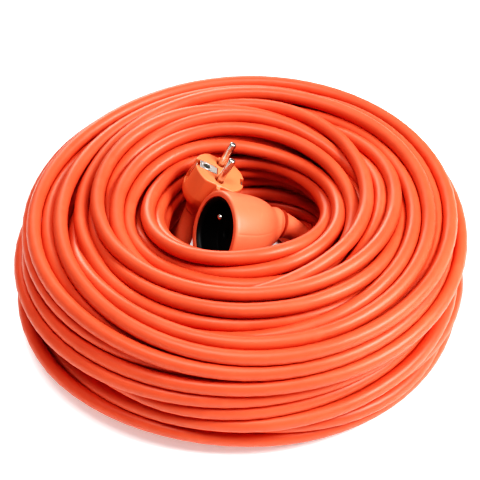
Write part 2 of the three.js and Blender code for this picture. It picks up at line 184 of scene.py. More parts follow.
def plug_end_route(spacing=0.003):
    inside = [PLUG @ Vector((0, 0, z)) for z in (-0.027, -0.036, -0.039)]
    lowest_turn = []
    for degrees in range(-92, 90, 12):
        passing = max(-1, min(1, (degrees - PASSING_ANGLE) / PASSING_REACH))
        radius = FOOT_RADIUS + PASSING_ROOM * (0.5 + 0.5 * math.cos(math.pi * passing))
        angle = math.radians(degrees)
        lowest_turn.append((radius * math.cos(angle), radius * math.sin(angle), FOOT_HEIGHT))
    return free_end(inside, PLUG_ROUTE + lowest_turn, spacing)


def socket_end_route(spacing=0.003):
    inside = [SOCKET @ Vector((0, SOCKET_OUTLET, z)) for z in (-0.042, -0.049, -0.052)]
    return free_end(inside, SOCKET_ROUTE, spacing)


# ---------------------------------------------------------------- the winding
STEP = 2 * math.pi / STATIONS
EXTRA = round((LAST_ANGLE - FIRST_ANGLE) / STEP)
POINTS = TURNS * STATIONS + EXTRA + 1
ROWS = TURNS + 1
ANGLES = FIRST_ANGLE + STEP * np.arange(POINTS)
STATION = np.arange(POINTS) % STATIONS
THETA = ANGLES[:STATIONS]
PADDING = ROWS * STATIONS - POINTS

# How the turns are laid out at first: places across and up the winding's section.
COLUMNS = 8
LAYERS = 10
LOWEST_LAYER = 0.06  # share of the section's height
ORDER_BLUR = 60  # points over which a turn moves on to its next place
WANDER = 0.014  # how far a turn strays from its place
WANDER_TURNS = 0.8  # and over what share of a turn
RELIEF = 0.012  # how far below the winding's surface an outermost turn may lie
RELIEF_TURNS = 0.7  # over what share of a turn that changes
RELIEF_SWING = 3.0  # and how often it swings between none and all of it
LEAD_ROOM = 0.013  # how far into the hole the winding's first and last points may come
PLUG_LEAD = 90  # and over how many points
SOCKET_LEAD = 60

# How they settle. A blur is a half width in points along the cable.
MIDDLE = np.array([0.101, 0.044])  # of the winding's section: radius and height
LOOSENESS = 2.0  # the turns start this many times further apart
SWEEPS = 1500
SHRUNK = 0.6  # the share of the sweeps after which the outline has its true size
CLEARING = 0.5  # and after which the turns avoid the plug, the socket and the leads
SINKING = 0.7  # and after which they settle on the turns below
LIFT = 0.00001  # before that they are kept up against the outline
DROP = 0.00001
TURN_SPACING = 1.01 * CABLE_DIAMETER
NEAR_HOLE = 0.075  # only points nearer than this to the axis can touch the plug or the socket
STIFFNESS = 0.4
BLUR = 10
EASE_REACH = 36  # points on each side of the joint between held and free ones
EASE_FADE = 12
GENTLE_RADIUS = 0.08  # the tightest bend away from a turn's own circle, about
SEED = 5


def around(mean, *waves):
    """A length that varies round the coil, in metres. It is given in millimetres: its mean, then the
    cosine and sine parts of one wave round the coil, of two, and so on."""
    total = mean
    for n, (cosine, sine) in enumerate(waves, 1):
        total = total + cosine * np.cos(n * THETA) + sine * np.sin(n * THETA)
    return total * MM


# Limits for the middle of the cable. The coil is higher at the back, and not quite round.
INNER = around(54.8, (0, 3))
OUTER = around(146.9, (-1.4, -1.8), (1.8, 2.4), (-1.8, -1.1))
FLOOR = CABLE_DIAMETER / 2
TOP = around(89.8, (4.6, 2.6), (-2.8, -1.0))


def bump(centre, half_width):
    """1 at an angle, falling smoothly to 0 on both sides. Degrees."""
    from_centre = (THETA - math.radians(centre) + math.pi) % (2 * math.pi) - math.pi
    near = np.minimum(np.abs(from_centre) / math.radians(half_width), 1)
    return 0.5 + 0.5 * np.cos(math.pi * near)


# The section's rounded corners: outwards or inwards, up or down, width and height.
UNDERCUT = bump(130, 45) - bump(60, 50)
NEAR_SIDE = bump(-90, 110)
CORNERS = [
    (1, 1, 0.029 + 0.020 * NEAR_SIDE, 0.029 + 0.028 * NEAR_SIDE),
    (1, -1, 0.009 + 0 * THETA, 0.017 + 0 * THETA),
    (-1, 1, 0.020 - 0.011 * NEAR_SIDE, 0.024 - 0.014 * NEAR_SIDE),
    (-1, -1, 0.018 + 0.012 * UNDERCUT, 0.028 + 0.016 * UNDERCUT),
]
# On the far side the hole widens half way up: how deep, at what height, and how far up and down.
HOLLOW = 0.017 * bump(45, 65)
HOLLOW_HEIGHT = 0.038
HOLLOW_REACH = 0.022


def slow_noise(random, turns, amplitude):
    """Smooth random drift along the cable, with a correlation length in turns."""
    knots = random.normal(0, 1, int(POINTS / (turns * STATIONS)) + 6)
    x = np.arange(POINTS) / (turns * STATIONS) + 1.5
    k = np.floor(x).astype(int)
    t = x - k
    weights = (
        (1 - t) ** 3 / 6,
        (3 * t**3 - 6 * t**2 + 4) / 6,
        (-3 * t**3 + 3 * t**2 + 3 * t + 1) / 6,
        t**3 / 6,
    )
    full_height = 1.45  # a cubic spline flattens its knots by about this much
    return amplitude * full_height * sum(w * knots[k - 1 + i] for i, w in enumerate(weights))


def straightened(values, amount, stride):
    """Takes out wiggles shorter than about six strides and leaves slow drifts."""
    out = values.copy()
    a, b, c, d = (values[k * stride : (k - 4) * stride] for k in range(4))
    e = values[4 * stride :]
    out[2 * stride : -2 * stride] -= (amount / 16) * (a - 4 * b + 6 * c - 4 * d + e)
    return out


def winding_order():
    """Where each turn lies in the section, as shares of its width and height: outwards along the
    floor, then in columns from the outer wall to the inner one, ending at the bottom again."""
    slots = [((k + 0.5) / COLUMNS, LOWEST_LAYER) for k in range(COLUMNS)]
    for column in range(COLUMNS):
        heights = [(row + 1.5) / LAYERS for row in range(LAYERS - 1)]
        if column % 2:
            heights.reverse()
        slots += [(1 - (column + 0.5) / COLUMNS, height) for height in heights]
    slots = np.array(slots)
    wanted = np.linspace(0, len(slots) - 1, TURNS + 2)
    known = np.arange(len(slots))
    across = np.interp(wanted, known, slots[:, 0])
    up = np.interp(wanted, known, slots[:, 1])
    turns = np.arange(POINTS) / STATIONS
    whole = np.arange(TURNS + 2)
    across = blurred(np.interp(turns, whole, across), ORDER_BLUR)
    up = blurred(np.interp(turns, whole, up), ORDER_BLUR)
    return across, up


def by_turn(values, filler):
    """The points as a table of turns by stations."""
    return np.concatenate([values, filler]).reshape(ROWS, STATIONS)


FAR = 10 + np.arange(PADDING)  # stands for the points that the last turn doesn't have


def pushed_apart(r, z, reach):
    """How far each point has to move so that turns at the same station are a reach apart."""
    a = by_turn(r, FAR)
    b = by_turn(z, FAR)
    dr = a[:, None, :] - a[None, :, :]
    dz = b[:, None, :] - b[None, :, :]
    i, j, s = np.nonzero(dr * dr + dz * dz < reach * reach)
    other = i != j
    i, j, s = i[other], j[other], s[other]
    x, y = dr[i, j, s], dz[i, j, s]
    distance = np.sqrt(x * x + y * y) + 1e-9
    share = 0.5 * (reach - distance) / distance
    flat = i * STATIONS + s
    size = ROWS * STATIONS
    move_r = np.bincount(flat, x * share, size)[:POINTS]
    move_z = np.bincount(flat, y * share, size)[:POINTS]
    return move_r, move_z


def confined(r, z, scale, inner, relief):
    """The nearest place inside the section's outline, grown by a scale about its middle. relief is
    how far each point keeps below the outline."""
    hollow = HOLLOW[STATION] * np.maximum(1 - ((z - HOLLOW_HEIGHT) / HOLLOW_REACH) ** 2, 0)
    low_r = MIDDLE[0] + (inner - MIDDLE[0]) * scale + hollow + 0.5 * relief
    high_r = MIDDLE[0] + (OUTER[STATION] - MIDDLE[0]) * scale - relief
    low_z = MIDDLE[1] + (FLOOR - MIDDLE[1]) * scale
    high_z = MIDDLE[1] + (TOP[STATION] - MIDDLE[1]) * scale - relief
    r = np.clip(r, low_r, high_r)
    z = np.clip(z, low_z, high_z)
    for outwards, upwards, width, height in CORNERS:
        w = width[STATION] * scale
        h = height[STATION] * scale
        corner_r = high_r - w if outwards > 0 else low_r + w
        corner_z = high_z - h if upwards > 0 else low_z + h
        u = outwards * (r - corner_r) / w
        v = upwards * (z - corner_z) / h
        out = (u > 0) & (v > 0) & (u * u + v * v > 1)
        shrink = np.where(out, 1 / np.sqrt(np.maximum(u * u + v * v, 1)), 1)
        r = corner_r + outwards * u * shrink * w
        z = corner_z + upwards * v * shrink * h
    return r, z


# Balls that stand for the plug and the socket: offset towards the earth contact, z, radius.
PLUG_BALLS = [(0, -0.004, 0.0185), (0, -0.018, 0.0185), (0, -0.027, 0.0130)]
SOCKET_BALLS = [(0, -0.005, 0.0273), (0.001, -0.022, 0.0260), (0.0106, -0.045, 0.0125)]
LEAD_STEP = 0.004  # between the balls along the leads
FIRST_BALL = 2  # the balls before this one lie in the housing


def sleeve_radius(neck, share):
    """The outside of a bend sleeve, by the share of its length."""
    return neck + (SLEEVE_END_RADIUS - neck) * math.sqrt(share)


def obstacles():
    """Centres and radii of all the balls that the turns keep clear of."""
    balls = []
    for place, group in ((PLUG, PLUG_BALLS), (SOCKET, SOCKET_BALLS)):
        balls += [(place @ Vector((0, y, z)), radius) for y, z, radius in group]
    plug_lead = plug_end_route(LEAD_STEP)[FIRST_BALL:30]
    socket_lead = socket_end_route(LEAD_STEP)[FIRST_BALL:17]
    for route, neck in ((plug_lead, PLUG_NECK), (socket_lead, SOCKET_NECK)):
        for k, point in enumerate(route):
            share = min(1, max(0, (LEAD_STEP * (k + FIRST_BALL) - 0.009) / SLEEVE_LENGTH))
            radius = sleeve_radius(neck, share) if share < 1 else CABLE_DIAMETER / 2
            balls.append((Vector(point), radius))
    return np.array([tuple(centre) for centre, _ in balls]), np.array([radius for _, radius in balls])


def cleared(r, z, centres, radii, near):
    """How far the points near the hole have to move to clear the obstacles."""
    cosine, sine = np.cos(ANGLES[near]), np.sin(ANGLES[near])
    points = np.stack([r[near] * cosine, r[near] * sine, z[near]], 1)
    away = points[:, None, :] - centres[None, :, :]
    distance = np.linalg.norm(away, axis=2) + 1e-9
    deep = np.maximum(radii + CABLE_DIAMETER / 2 - distance, 0)
    push = (away * (deep / distance)[:, :, None]).sum(1)
    move_r = np.zeros(POINTS)
    move_z = np.zeros(POINTS)
    move_r[near] = np.maximum(push[:, 0] * cosine + push[:, 1] * sine, 0)
    move_z[near] = push[:, 2]
    return move_r, move_z


def eased(values, joint, passes=60):
    """Values with their wiggles taken out near a joint between held and free points."""
    near = np.clip((EASE_REACH - np.abs(np.arange(POINTS) - joint)) / EASE_FADE, 0, 1)
    held_side = np.minimum(np.arange(POINTS), np.arange(POINTS)[::-1]) / EASE_FADE
    near *= np.clip(held_side - 0.2, 0, 1)
    for _ in range(passes):
        between = 0.5 * (values[:-2] + values[2:])
        values[1:-1] += 0.5 * near[1:-1] * (between - values[1:-1])
    return values


def unkinked(values, gentle, passes=400):
    """Values with each sharp corner spread out along the cable until it is gentle enough."""
    free = slice(HELD_FIRST, -HELD_LAST)
    for _ in range(passes):
        corner = np.zeros(POINTS)
        corner[1:-1] = values[:-2] - 2 * values[1:-1] + values[2:]
        too_sharp = np.sign(corner) * np.maximum(np.abs(corner) - gentle, 0)
        values[free] += 0.5 * blurred(too_sharp, 2)[free]
    return values


def settle_winding(plug_end, socket_end):
    """Radius and height of each point of the winding, between its two free ends."""
    random = np.random.default_rng(SEED)
    held = np.r_[:HELD_FIRST, POINTS - HELD_LAST : POINTS]
    held_places = [at_angle(plug_end, angle) for angle in ANGLES[:HELD_FIRST]]
    held_places += [at_angle(socket_end, angle) for angle in ANGLES[-HELD_LAST:]]
    held_r, held_z = np.array(held_places).T
    inner = INNER[STATION].copy()
    inner[:PLUG_LEAD] -= LEAD_ROOM * np.linspace(1, 0, PLUG_LEAD) ** 0.5
    inner[-SOCKET_LEAD:] -= LEAD_ROOM * np.linspace(0, 1, SOCKET_LEAD) ** 0.7
    across, up = winding_order()
    r = INNER[STATION] + (OUTER - INNER)[STATION] * across
    z = FLOOR + (TOP[STATION] - FLOOR) * up
    r = MIDDLE[0] + (r - MIDDLE[0]) * LOOSENESS + slow_noise(random, WANDER_TURNS, WANDER)
    z = MIDDLE[1] + (z - MIDDLE[1]) * LOOSENESS + slow_noise(random, WANDER_TURNS, 0.8 * WANDER)
    relief = RELIEF * (0.5 + 0.5 * np.sin(slow_noise(random, RELIEF_TURNS, RELIEF_SWING)))
    centres, radii = obstacles()
    free = np.ones(POINTS, bool)
    free[held] = False
    for sweep in range(SWEEPS):
        done = sweep / SWEEPS
        scale = LOOSENESS + (1 - LOOSENESS) * min(1, done / SHRUNK)
        # The blur narrows over the last quarter of the sweeps.
        blur = BLUR if done < 0.75 else max(1, round(4 * BLUR * (1 - done)))
        move_r, move_z = pushed_apart(r, z, TURN_SPACING)
        if done > CLEARING:
            near = np.nonzero((r < NEAR_HOLE) & free)[0]
            clear_r, clear_z = cleared(r, z, centres, radii, near)
            move_r = move_r + 0.7 * clear_r
            move_z = move_z + 0.7 * clear_z
        r = r + 0.9 * blurred(move_r, blur)
        z = z + 0.9 * blurred(move_z, blur) + (LIFT if done < SINKING else -DROP)
        inside_r, inside_z = confined(r, z, scale, inner, relief)
        r = r + blurred(inside_r - r, blur)
        z = z + blurred(inside_z - z, blur)
        for stride in (1, 4):
            r = straightened(r, STIFFNESS, stride)
            z = straightened(z, STIFFNESS, stride)
        r[held] = MIDDLE[0] + (held_r - MIDDLE[0]) * scale
        z[held] = MIDDLE[1] + (held_z - MIDDLE[1]) * scale
    for joint in (HELD_FIRST, POINTS - HELD_LAST):
        r = eased(r, joint)
        z = eased(z, joint)
    gentle = (STEP * r) ** 2 / GENTLE_RADIUS
    r = unkinked(r, gentle)
    z = unkinked(z, gentle)
    return r, np.maximum(z, FLOOR)


def at_angle(route, angle):
    """Radius and height where a route passes an angle."""
    past = np.arctan2(route[:, 1], route[:, 0])
    past = (past - angle + math.pi) % (2 * math.pi) - math.pi
    k = int(np.argmin(np.abs(past)))
    a, b = (k, k + 1) if k + 1 < len(route) else (k - 1, k)
    if k > 0 and past[k] * past[k - 1] < 0 and abs(past[k - 1]) < 1:
        a, b = k - 1, k
    t = past[a] / (past[a] - past[b])
    radius = np.hypot(route[:, 0], route[:, 1])
    return radius[a] + t * (radius[b] - radius[a]), route[a, 2] + t * (route[b, 2] - route[a, 2])


def before(route, angle, turning):
    """The part of a route, from its start, that comes before it passes an angle. turning is 1 when
    it runs anticlockwise and -1 when it runs clockwise."""
    heading = np.arctan2(route[:, 1], route[:, 0])
    ahead = turning * ((heading - angle + math.pi) % (2 * math.pi) - math.pi)
    passed = np.nonzero((ahead > -0.02) & (np.abs(ahead) < 1))[0]
    return route[: passed[0] - 1]


def cable_path():
    """The middle of the whole cable, from inside the plug to inside the socket."""
    plug_end = plug_end_route()
    socket_end = socket_end_route()
    r, z = settle_winding(plug_end, socket_end)
    winding = np.stack([r * np.cos(ANGLES), r * np.sin(ANGLES), z], 1)
    start = before(plug_end, FIRST_ANGLE, 1)
    end = before(socket_end, LAST_ANGLE, -1)
    return np.vstack([start, winding, end[::-1]])


def tube(name, path, radius, sides):
    """A closed tube along a path, with a UV map of turns round it and metres along it."""
    count = len(path)
    ahead = np.gradient(path, axis=0)
    ahead /= np.linalg.norm(ahead, axis=1)[:, None]
    side = np.cross(np.array([0.0, 0.0, 1.0]), ahead)
    side /= np.linalg.norm(side, axis=1)[:, None]
    up = np.cross(ahead, side)
    angle = 2 * math.pi * np.arange(sides) / sides
    ring = side[:, None, :] * np.cos(angle)[None, :, None] + up[:, None, :] * np.sin(angle)[None, :, None]
    points = (path[:, None, :] + radius * ring).reshape(-1, 3)
    points = np.vstack([points, path[:1], path[-1:]])
    faces = []
    for i in range(count - 1):
        for j in range(sides):
            k = (j + 1) % sides
            faces.append((i * sides + j, i * sides + k, (i + 1) * sides + k, (i + 1) * sides + j))
    start, end = len(points) - 2, len(points) - 1
    last = (count - 1) * sides
    for j in range(sides):
        k = (j + 1) % sides
        faces.append((start, k, j))
        faces.append((end, last + j, last + k))
    mesh = bpy.data.meshes.new(name)
    mesh.from_pydata(points.tolist(), [], faces)
    along = np.concatenate([[0], np.cumsum(np.linalg.norm(np.diff(path, axis=0), axis=1))])
    layer = mesh.uv_layers.new(name="cable")
    u = np.tile([0, 1, 1, 0], (count - 1) * sides)
    j = np.repeat(np.tile(np.arange(sides), count - 1), 4)
    i = np.repeat(np.arange(count - 1), 4 * sides)
    v = along[i + np.tile([0, 0, 1, 1], (count - 1) * sides)]
    uv = np.zeros((len(mesh.loops), 2))
    uv[: len(u), 0] = (j + u) / sides
    uv[: len(u), 1] = v
    layer.data.foreach_set("uv", uv.ravel())
    mesh.polygons.foreach_set("use_smooth", np.ones(len(faces), bool))
    mesh.update()
    piece = bpy.data.objects.new(name, mesh)
    bpy.context.collection.objects.link(piece)
    return piece


# ---------------------------------------------------------------- shapes of the plug and socket
# Each is made in its end's own frame, in millimetres, and then put in its place.
def solid_of_rings(name, rings, ring_closed=False):
    """A closed surface through rings of equally many points. It is capped at both ends, or runs from
    the last ring back to the first one."""
    rings = [np.asarray(ring, float) for ring in rings]
    count, sides = len(rings), len(rings[0])
    points = np.vstack(rings)
    faces = []
    for i in range(count if ring_closed else count - 1):
        for j in range(sides):
            k = (j + 1) % sides
            following = (i + 1) % count
            faces.append((i * sides + j, i * sides + k, following * sides + k, following * sides + j))
    if not ring_closed:
        faces.append(tuple(range(sides))[::-1])
        faces.append(tuple((count - 1) * sides + j for j in range(sides)))
    return piece_of(name, points, faces)


def piece_of(name, points, faces):
    mesh = bpy.data.meshes.new(name)
    mesh.from_pydata([tuple(point) for point in points], [], faces)
    mesh.update()
    piece = bpy.data.objects.new(name, mesh)
    bpy.context.collection.objects.link(piece)
    return piece


def circle(radius, z, x=0.0, y=0.0, sides=64):
    angle = 2 * math.pi * np.arange(sides) / sides
    return np.stack([x + radius * np.cos(angle), y + radius * np.sin(angle), z + 0 * angle], 1)


def turned(name, profile, x=0.0, y=0.0, sides=64):
    """A solid turned round z: its profile is a list of radius and z, upwards."""
    return solid_of_rings(name, [circle(radius, z, x, y, sides) for radius, z in profile])


def bar(radius, low, high, x=0.0, y=0.0, sides=64):
    return turned("tool", [(radius, low), (radius, high)], x, y, sides)


def block(size, middle):
    half = np.array(size) / 2
    corners = [(-1, -1), (1, -1), (1, 1), (-1, 1)]
    rings = [[(half[0] * x, half[1] * y, half[2] * z) for x, y in corners] for z in (-1, 1)]
    return solid_of_rings("tool", [np.array(ring) + np.array(middle) for ring in rings])


def rounded(radius, z, size, start, end, steps=5):
    """Points (radius, z) of a rounded edge: part of a circle round a middle. Degrees."""
    angles = np.radians(np.linspace(start, end, steps))
    return [(radius + size * math.cos(angle), z + size * math.sin(angle)) for angle in angles]


def carved(piece, joined=(), cut=(), voxel=None, softening=3):
    """A piece with other solids joined to it and cut out of it. With a voxel size in millimetres its
    edges come out soft, as moulded or stamped edges are."""
    tools = [(tool, "UNION") for tool in joined] + [(tool, "DIFFERENCE") for tool in cut]
    for tool, operation in tools:
        modifier = piece.modifiers.new("carve", "BOOLEAN")
        modifier.object = tool
        modifier.operation = operation
        modifier.solver = "EXACT"
    if voxel:
        remesh = piece.modifiers.new("remesh", "REMESH")
        remesh.mode = "VOXEL"
        remesh.voxel_size = voxel
        smooth = piece.modifiers.new("smooth", "SMOOTH")
        smooth.factor = 0.5
        smooth.iterations = softening
    evaluated = piece.evaluated_get(bpy.context.evaluated_depsgraph_get())
    mesh = bpy.data.meshes.new_from_object(evaluated)
    piece.modifiers.clear()
    piece.data = mesh
    for tool, _ in tools:
        bpy.data.objects.remove(tool)
    return piece


def put(piece, place, body, material, replaced, sharp_angle=35):
    """Puts a piece made in millimetres in its place, on its body, and hides the CAD parts that it
    replaces.
    """
    piece.data.transform(place @ Matrix.Scale(MM, 4))
    piece.data.polygons.foreach_set("use_smooth", np.ones(len(piece.data.polygons), bool))
    piece.data.set_sharp_from_angle(angle=math.radians(sharp_angle))
    piece.data.materials.clear()
    piece.data.materials.append(material)
    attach(piece, body)
    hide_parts(*replaced)
    return piece


# ---------------------------------------------------------------- plug
PIN_RADIUS = 2.4
PIN_LENGTH = 19
PIN_BACK = -12
PIN_OFFSET = 9.5
EARTH_OFFSET = 10
PLATE_MIDDLE = 8.6
PLUG_RADIUS = 18.5
PLUG_FLAT = 15.8
# Behind its straight part the plug tapers: z, how much of the flats is left, radius.
PLUG_TAPER = [
    (-36, 0, 8.2), (-33, 0.03, 8.9), (-30, 0.2, 10.8), (-27.5, 0.45, 13.5), (-25, 0.75, 15.9),
    (-22, 0.95, 17.6), (-18, 1, 18.5),
]
RIM_ROUNDING = 0.9
RIB_WIDTH = 3
RIB_DEPTH = 3
CLIP_BOW = [(-15.4, 15.5), (-11, 16.7), (-7, 17.5), (-4, 17.4), (-1.4, 16.6)]
CLIP_WIDTH = 4.6
CLIP_THICKNESS = 0.6


def plug_ring(z, squareness, radius, sides=120):
    """A ring of the plug's body: a circle with two flats, as far as squareness keeps them."""
    angle = 2 * math.pi * np.arange(sides) / sides
    flat = PLUG_FLAT / np.maximum(np.abs(np.cos(angle)), 1e-6)
    outline = np.minimum(PLUG_RADIUS, flat) / PLUG_RADIUS
    distance = radius * (1 + squareness * (outline - 1))
    return np.stack([distance * np.cos(angle), distance * np.sin(angle), z + 0 * angle], 1)


def make_plug_body(material):
    """The moulded body: a rib on each flat, a recess for the earth plate, a groove for each clip."""
    rings = [plug_ring(*station) for station in smooth_curve(PLUG_TAPER, 0.8)]
    edge = rounded(PLUG_RADIUS - RIM_ROUNDING, -RIM_ROUNDING, RIM_ROUNDING, 0, 90)
    rings += [plug_ring(z, 1, radius) for radius, z in edge]
    body = solid_of_rings("plug_shell", rings)
    ribs = [
        block((RIB_DEPTH, RIB_WIDTH, 17), (side * (PLUG_RADIUS - RIB_DEPTH / 2), 0, -9.5))
        for side in (-1, 1)
    ]
    cavity = turned("tool", [(5.3, -37), (5.3, -31), (13.6, -21), (13.6, -2.8)])
    plate_recess = block((8.6, 13.8, 6), (0, PLATE_MIDDLE, -2))
    cuts = [cavity, plate_recess]
    for side in (-1, 1):
        cuts.append(bar(PIN_RADIUS + 0.3, -4, 1, side * PIN_OFFSET))
        cuts.append(bar(PIN_RADIUS + 0.9, -0.9, 1, side * PIN_OFFSET))
        clip_groove = block((7.2, 8, 18), (0, side * 19.2, -8))
        cuts.append(clip_groove)
    carved(body, ribs, cuts, voxel=0.38, softening=2)
    put(body, PLUG, "cord", material, ["plug_body"], sharp_angle=60)


def make_pin(name, place, x, y, back, tip, nose_radius, material):
    """A round pin with a chamfered back end and a rounded tip."""
    chamfer = 0.3
    axis = 0.05  # the flat ends have a ring this small at their middle
    profile = [(axis, back), (PIN_RADIUS - chamfer, back), (PIN_RADIUS, back + chamfer)]
    nose = rounded(PIN_RADIUS - nose_radius, tip - nose_radius, nose_radius, 0, 80, 9)
    pin = turned(name + "_metal", [*profile, *nose, (axis, tip)], x, y, 48)
    put(pin, place, "cord", material, [name], sharp_angle=50)


def make_earth_contact(material):
    """The earth plate in the plug's face, with the sleeve that a socket's earth pin goes into."""
    plate = block((7.6, 12.6, 0.9), (0, PLATE_MIDDLE, -0.5))
    sleeve = bar(3.2, -13, -0.4, 0, EARTH_OFFSET)
    lip = bar(3.5, -0.6, 0.15, 0, EARTH_OFFSET)
    bore = [bar(2.6, -14, 1, 0, EARTH_OFFSET)]
    notches = [block((1.2, 1.6, 2), (side * 3.5, 3.6, 0)) for side in (-1, 1)]
    carved(plate, [sleeve, lip], bore + notches, voxel=0.16, softening=2)
    put(plate, PLUG, "cord", material, ["plug_earth_contact"])
    plate.name = "plug_earth_plate"


def make_clip(name, side, body, material):
    """A bowed spring strip with rounded edges and a slightly pinched tip."""
    line = smooth_curve([(0, y, z) for z, y in CLIP_BOW], 0.35)
    ahead = np.gradient(line, axis=0)
    ahead /= np.linalg.norm(ahead, axis=1)[:, None]
    outwards = np.stack([0 * ahead[:, 0], ahead[:, 2], -ahead[:, 1]], 1)
    across = np.array([1.0, 0.0, 0.0])
    half = CLIP_WIDTH / 2
    edge = 0.28 * CLIP_THICKNESS
    outline = []
    for x, y in ((half, 0), (half, CLIP_THICKNESS), (-half, CLIP_THICKNESS), (-half, 0)):
        cx, cy = x - math.copysign(edge, x), y - math.copysign(edge, y - 0.1)
        start = math.degrees(math.atan2(y - cy, x - cx)) - 45
        outline += rounded(cx, cy, edge, start, start + 90, 4)
    rings = []
    for k, (point, normal) in enumerate(zip(line, outwards)):
        left = len(line) - 1 - k
        narrow = 1 - 0.25 * max(0.0, 1 - left / 4) ** 2
        rings.append([point + across * x * narrow + normal * y for x, y in outline])
    strip = solid_of_rings(name + "_strip", rings)
    if side < 0:
        strip.data.transform(Matrix.Rotation(math.pi, 4, "Z"))
    put(strip, PLUG, body, material, [name], sharp_angle=50)


# ---------------------------------------------------------------- trailing socket
# The bell's outside and its cavity: z, offset of the middle towards the earth pin, radius.
BELL_BACK = [
    (-49, 10.6, 9.9), (-47.4, 10.5, 10.7), (-46.2, 9.7, 11.7), (-45, 8.5, 12.8), (-41.5, 7.3, 14.1),
    (-38.5, 6.4, 16.2), (-35, 5.2, 19.2), (-30, 3.5, 22.4), (-24, 2, 24.9), (-17.5, 0.8, 26.4),
    (-9, 0.2, 27.3), (-3, 0, 27.5),
]
BELL_CAVITY = [
    (-0.6, 0, 23.2), (-23, 0, 23.2), (-24.5, 0.6, 21.6), (-30, 3.5, 19.4), (-35, 5.2, 16),
    (-40, 7.6, 10.6), (-44, 10.6, 5.3), (-49, 10.6, 5.3),
]
BELL_RIM = [
    (-1.6, 0, 27.4), (-0.9, 0, 27.1), (-0.35, 0, 26.6), (-0.08, 0, 26.0), (0, 0, 25.3), (0, 0, 23.9),
    (-0.2, 0, 23.4),
]
SEAM_DEPTH = 0.14
SEAM_WIDTH = math.radians(0.9)


def bell_ring(z, offset, radius, seam):
    """A ring of the bell. The mould's parting line shows as a fine groove on both sides."""
    fine = [side + SEAM_WIDTH * step for side in (0, math.pi) for step in (-2, -1, 0, 1, 2)]
    coarse = [2 * math.pi * k / 96 for k in range(96) if min(k % 48, 48 - k % 48) > 0]
    angle = np.array(sorted((value % (2 * math.pi)) for value in fine + coarse))
    from_seam = np.abs((angle + math.pi / 2) % math.pi - math.pi / 2)
    depth = seam * np.exp(-((from_seam / SEAM_WIDTH) ** 2))
    distance = radius - depth
    return np.stack([distance * np.cos(angle), offset + distance * np.sin(angle), z + 0 * angle], 1)


def make_bell(material):
    """The socket's housing: its outside, round its rim and down its cavity."""
    rings = [bell_ring(*station, SEAM_DEPTH) for station in smooth_curve(BELL_BACK, 0.8)]
    rings += [bell_ring(*station, 0) for station in BELL_RIM]
    rings += [bell_ring(*station, 0) for station in BELL_CAVITY]
    bell = solid_of_rings("socket_bell", rings, ring_closed=True)
    put(bell, SOCKET, "cord", material, ["socket_body"], sharp_angle=40)
    return bell


def make_insert(material):
    """The black well, with two pin holes and a hole for the earth pin in its floor."""
    profile = [
        (20.4, -19), (20.4, -22), (22.9, -22), (22.9, -1.2), (22.6, -0.75), (22.2, -0.7), (21.0, -1.7),
        (20.3, -2.6), (20.0, -3.8), (20.0, -15.2), (19.7, -15.8), (19.2, -16),
    ]
    insert = solid_of_rings("socket_well", [circle(radius, z, sides=96) for radius, z in profile])
    cuts = [bar(3.2, -20, -15, side * PIN_OFFSET) for side in (-1, 1)]
    cuts += [turned("tool", [(3.2, -16.8), (4.2, -15.9)], side * PIN_OFFSET) for side in (-1, 1)]
    cuts.append(bar(PIN_RADIUS + 0.3, -20, -15, 0, EARTH_OFFSET))
    carved(insert, (), cuts)
    put(insert, SOCKET, "cord", material, ["socket_insert"], sharp_angle=30)


def make_sleeve(name, route, neck, material, spacing=0.0005):
    """The tapered sleeve that keeps the cable from kinking where it leaves its housing."""
    line = resampled(route, spacing)
    along = spacing * np.arange(len(line))
    ahead = np.gradient(line, axis=0)
    ahead /= np.linalg.norm(ahead, axis=1)[:, None]
    side = np.cross([0.0, 0.0, 1.0], ahead)
    side /= np.linalg.norm(side, axis=1)[:, None]
    up = np.cross(ahead, side)
    angle = 2 * math.pi * np.arange(64) / 64
    share = np.linspace(0, 1, 40)
    outside = [(sleeve_radius(neck, t), SLEEVE_START + t * SLEEVE_LENGTH) for t in share[:-1]]
    rounding = 0.0005
    end = SLEEVE_START + SLEEVE_LENGTH - rounding
    lip = rounded(SLEEVE_END_RADIUS - rounding, end, rounding, 0, 90)
    inside = [(SLEEVE_BORE, SLEEVE_START + t * SLEEVE_LENGTH) for t in share[::-2]]
    rings = []
    for radius, distance in outside + lip + inside:
        middle, across, above = (
            np.array([np.interp(distance, along, values[:, axis]) for axis in range(3)])
            for values in (line, side, up)
        )
        turn = np.cos(angle)[:, None] * across + np.sin(angle)[:, None] * above
        rings.append((middle + radius * turn) / MM)
    sleeve = solid_of_rings(name, rings, ring_closed=True)
    put(sleeve, Matrix.Identity(4), "cord", material, [name.replace("_taper", "_sleeve")])


# ---------------------------------------------------------------- materials
CORES = 3.0
LAY_LENGTH = 0.085  # the cores' twist shows faintly through the sheath
# How strongly the floor glows outside the coil: painted light that washes out the coil's shadows on the
# floor.
FLOOR_PAINTED_GLOW = 0.5
CABLE_COLOUR = (0.66, 0.108, 0.053)
RUBBED_COLOUR = (0.72, 0.16, 0.08, 1)
HOUSING_COLOUR = (0.72, 0.165, 0.090)
PLUG_COLOUR = (0.74, 0.190, 0.088)  # the plug is a little yellower than the socket


def node(material, kind, inputs=None, **settings):
    """A new node. Each input is a value or another node's output."""
    made = material.node_tree.nodes.new(kind)
    for setting, value in settings.items():
        setattr(made, setting, value)
    for socket, value in (inputs or {}).items():
        if isinstance(value, bpy.types.NodeSocket):
            material.node_tree.links.new(value, made.inputs[socket])
        else:
            made.inputs[socket].default_value = value
    return made


def coordinates(material, stretch=(1, 1, 1)):
    source = node(material, "ShaderNodeTexCoord").outputs["Object"]
    return node(material, "ShaderNodeMapping", {"Vector": source, "Scale": stretch}).outputs[0]


def noise(material, where, scale, detail=2.0, roughness=0.5):
    values = {"Vector": where, "Scale": scale, "Detail": detail, "Roughness": roughness}
    return node(material, "ShaderNodeTexNoise", values).outputs[0]


